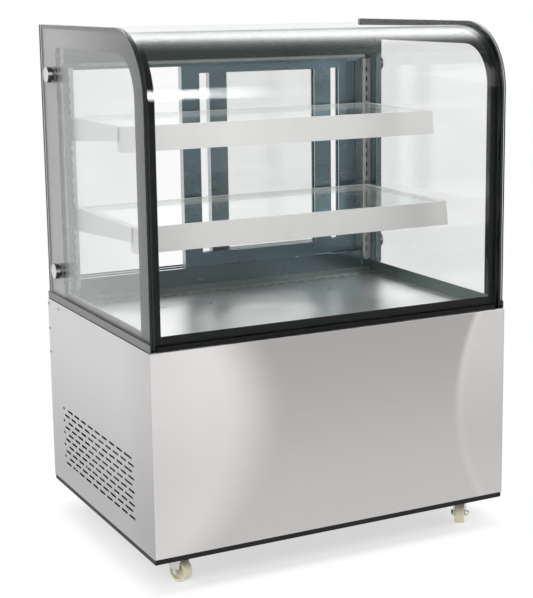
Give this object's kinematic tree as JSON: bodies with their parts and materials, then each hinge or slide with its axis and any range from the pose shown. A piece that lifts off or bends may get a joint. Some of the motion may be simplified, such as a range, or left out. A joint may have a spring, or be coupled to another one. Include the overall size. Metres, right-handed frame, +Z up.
{
  "type": "bakery display case",
  "caption": "Free-standing refrigerated bakery display case on casters: curved front glass, glass sides, lit glass shelves, stainless base and sliding rear doors.",
  "frame": {"origin": "on the floor, midway between the side panels and under the middle of the cabinet depth", "axes": "+Z up, the curved customer glass faces -Y, the sliding service doors face +Y, +X to the right of a customer"},
  "size_m": [0.916, 0.6757, 1.2015],
  "materials": {
    "brushed_stainless": "vertical brushed satin",
    "interior_stainless": "fine satin sheet",
    "white_coated_steel": "smooth semi-gloss coat",
    "galvanised_sheet": "galvanised",
    "black_coated_steel": "semi-gloss black coat",
    "anodised_aluminium": "satin anodised",
    "clear_glass": "polished tempered glass",
    "chrome": "mirror",
    "zinc_plate": "bright zinc",
    "cream_nylon": "smooth nylon",
    "black_plastic": "fine texture",
    "grey_keys": "smooth keys",
    "rocker_black": "gloss",
    "black_rubber": "flexible cord sheath",
    "compressor_black": "enamel",
    "coil_fins": "mill finish",
    "copper": "drawn copper",
    "hose_grey": "soft hose",
    "led_diffuser": "opal diffuser",
    "fan_plastic": "moulded",
    "foam_liner": "galvanised liner on foam"
  },
  "bodies": {
    "cabinet": {"base_frame": "black_coated_steel", "base_pan": "galvanised_sheet", "caster_plates": "zinc_plate", "compressor": "compressor_black", "condenser_coil": "coil_fins", "condenser_fan_shroud": "galvanised_sheet", "control_panel": "black_plastic", "cooling_tank": "foam_liner", "deck_pan": "interior_stainless", "door_bottom_track": "interior_stainless", "door_top_track": "anodised_aluminium", "drain_hose": "hose_grey", "drain_pan": "galvanised_sheet", "evaporator_coil": "coil_fins", "evaporator_fan_housing": "galvanised_sheet", "front_glass": "clear_glass", "front_glass_channel": "black_coated_steel", "front_panel": "brushed_stainless", "glass_clamp_bolts": "chrome", "header_canopy": "interior_stainless", "led_strips": "led_diffuser", "left_rear_post": "interior_stainless", "left_side_glass": "clear_glass", "left_side_panel": "brushed_stainless", "lower_shelf_frame": "white_coated_steel", "panel_screws": "chrome", "power_cord": "black_rubber", "rear_panel": "brushed_stainless", "refrigerant_pipes": "copper", "right_rear_post": "interior_stainless", "right_side_glass": "clear_glass", "right_side_panel": "brushed_stainless", "shelf_brackets": "white_coated_steel", "shelf_glasses": "clear_glass", "shelf_pilasters": "interior_stainless", "side_glass_channels": "anodised_aluminium", "upper_shelf_frame": "white_coated_steel"},
    "caster_swivel_fl": {"caster_fork_fl": "zinc_plate"},
    "caster_roll_fl": {"caster_wheel_fl": "cream_nylon"},
    "caster_swivel_fr": {"caster_fork_fr": "zinc_plate"},
    "caster_roll_fr": {"caster_wheel_fr": "cream_nylon"},
    "caster_swivel_rl": {"caster_fork_rl": "zinc_plate"},
    "caster_roll_rl": {"caster_wheel_rl": "cream_nylon"},
    "caster_swivel_rr": {"caster_fork_rr": "zinc_plate"},
    "caster_roll_rr": {"caster_wheel_rr": "cream_nylon"},
    "left_door": {"left_door_frame": "anodised_aluminium", "left_door_glass": "clear_glass"},
    "left_door_roller_a": {"left_door_roller_a": "cream_nylon"},
    "left_door_roller_b": {"left_door_roller_b": "cream_nylon"},
    "right_door": {"right_door_frame": "anodised_aluminium", "right_door_glass": "clear_glass"},
    "right_door_roller_a": {"right_door_roller_a": "cream_nylon"},
    "right_door_roller_b": {"right_door_roller_b": "cream_nylon"},
    "condenser_fan_wheel": {"condenser_fan": "fan_plastic"},
    "evaporator_fan_wheel": {"evaporator_fan": "fan_plastic"},
    "button_up": {"button_up": "grey_keys"},
    "button_down": {"button_down": "grey_keys"},
    "button_set": {"button_set": "grey_keys"},
    "power_switch": {"power_switch": "rocker_black"},
    "light_switch": {"light_switch": "rocker_black"}
  },
  "joints": [
    {"name": "swivel_fl", "type": "hinge", "parent": "cabinet", "child": "caster_swivel_fl", "pos_m": [-0.377, -0.262, 0.06], "axis": [0, 0, 1], "continuous": true},
    {"name": "wheel_fl", "type": "hinge", "parent": "caster_swivel_fl", "child": "caster_roll_fl", "pos_m": [-0.36927, -0.27936, 0.025], "axis": [0.9136, 0.4067, 0], "continuous": true},
    {"name": "swivel_fr", "type": "hinge", "parent": "cabinet", "child": "caster_swivel_fr", "pos_m": [0.377, -0.262, 0.06], "axis": [0, 0, 1], "continuous": true},
    {"name": "wheel_fr", "type": "hinge", "parent": "caster_swivel_fr", "child": "caster_roll_fr", "pos_m": [0.3663, -0.2777, 0.025], "axis": [0.8264, -0.563, 0], "continuous": true},
    {"name": "swivel_rl", "type": "hinge", "parent": "cabinet", "child": "caster_swivel_rl", "pos_m": [-0.377, 0.262, 0.06], "axis": [0, 0, 1], "continuous": true},
    {"name": "wheel_rl", "type": "hinge", "parent": "caster_swivel_rl", "child": "caster_roll_rl", "pos_m": [-0.3705, 0.27985, 0.025], "axis": [-0.9397, 0.342, 0], "continuous": true},
    {"name": "swivel_rr", "type": "hinge", "parent": "cabinet", "child": "caster_swivel_rr", "pos_m": [0.377, 0.262, 0.06], "axis": [0, 0, 1], "continuous": true},
    {"name": "wheel_rr", "type": "hinge", "parent": "caster_swivel_rr", "child": "caster_roll_rr", "pos_m": [0.37369, 0.28071, 0.025], "axis": [-0.9847, -0.174, 0], "continuous": true},
    {"name": "left_door_slide", "type": "slide", "parent": "cabinet", "child": "left_door", "axis": [1, 0, 0], "range_m": [-0.283, 0.085]},
    {"name": "left_roller_a", "type": "hinge", "parent": "left_door", "child": "left_door_roller_a", "pos_m": [-0.074, 0.262, 0.58905], "axis": [0, 1, 0], "range_deg": [-2028.84, 610.77]},
    {"name": "left_roller_b", "type": "hinge", "parent": "left_door", "child": "left_door_roller_b", "pos_m": [0.27, 0.262, 0.58905], "axis": [0, 1, 0], "range_deg": [-2028.84, 610.77]},
    {"name": "right_door_slide", "type": "slide", "parent": "cabinet", "child": "right_door", "axis": [1, 0, 0], "range_m": [-0.37, 0]},
    {"name": "right_roller_a", "type": "hinge", "parent": "right_door", "child": "right_door_roller_a", "pos_m": [0.013, 0.289, 0.58905], "axis": [0, 1, 0], "range_deg": [-2651.93, 2]},
    {"name": "right_roller_b", "type": "hinge", "parent": "right_door", "child": "right_door_roller_b", "pos_m": [0.357, 0.289, 0.58905], "axis": [0, 1, 0], "range_deg": [-2651.93, 2]},
    {"name": "condenser_fan_spin", "type": "hinge", "parent": "cabinet", "child": "condenser_fan_wheel", "pos_m": [-0.348, 0, 0.216], "axis": [1, 0, 0], "continuous": true},
    {"name": "evaporator_fan_spin", "type": "hinge", "parent": "cabinet", "child": "evaporator_fan_wheel", "pos_m": [-0.191, 0.025, 0.474], "axis": [1, 0, 0], "continuous": true},
    {"name": "button_up_press", "type": "slide", "parent": "cabinet", "child": "button_up", "axis": [0, -1, 0], "range_m": [0, 0.0012], "stiffness_N_per_m": 150},
    {"name": "button_down_press", "type": "slide", "parent": "cabinet", "child": "button_down", "axis": [0, -1, 0], "range_m": [0, 0.0012], "stiffness_N_per_m": 150},
    {"name": "button_set_press", "type": "slide", "parent": "cabinet", "child": "button_set", "axis": [0, -1, 0], "range_m": [0, 0.0012], "stiffness_N_per_m": 150},
    {"name": "power_switch_rock", "type": "hinge", "parent": "cabinet", "child": "power_switch", "pos_m": [0.315, 0.3267, 0.46], "axis": [1, 0, 0], "range_deg": [-16, 0]},
    {"name": "light_switch_rock", "type": "hinge", "parent": "cabinet", "child": "light_switch", "pos_m": [0.35, 0.3267, 0.46], "axis": [1, 0, 0], "range_deg": [-16, 0]}
  ],
  "couplings": [
    {"joint": "left_roller_a", "follows": "left_door_slide", "rad_per_m": 125},
    {"joint": "left_roller_b", "follows": "left_door_slide", "rad_per_m": 125},
    {"joint": "right_roller_a", "follows": "right_door_slide", "rad_per_m": 125},
    {"joint": "right_roller_b", "follows": "right_door_slide", "rad_per_m": 125}
  ]
}
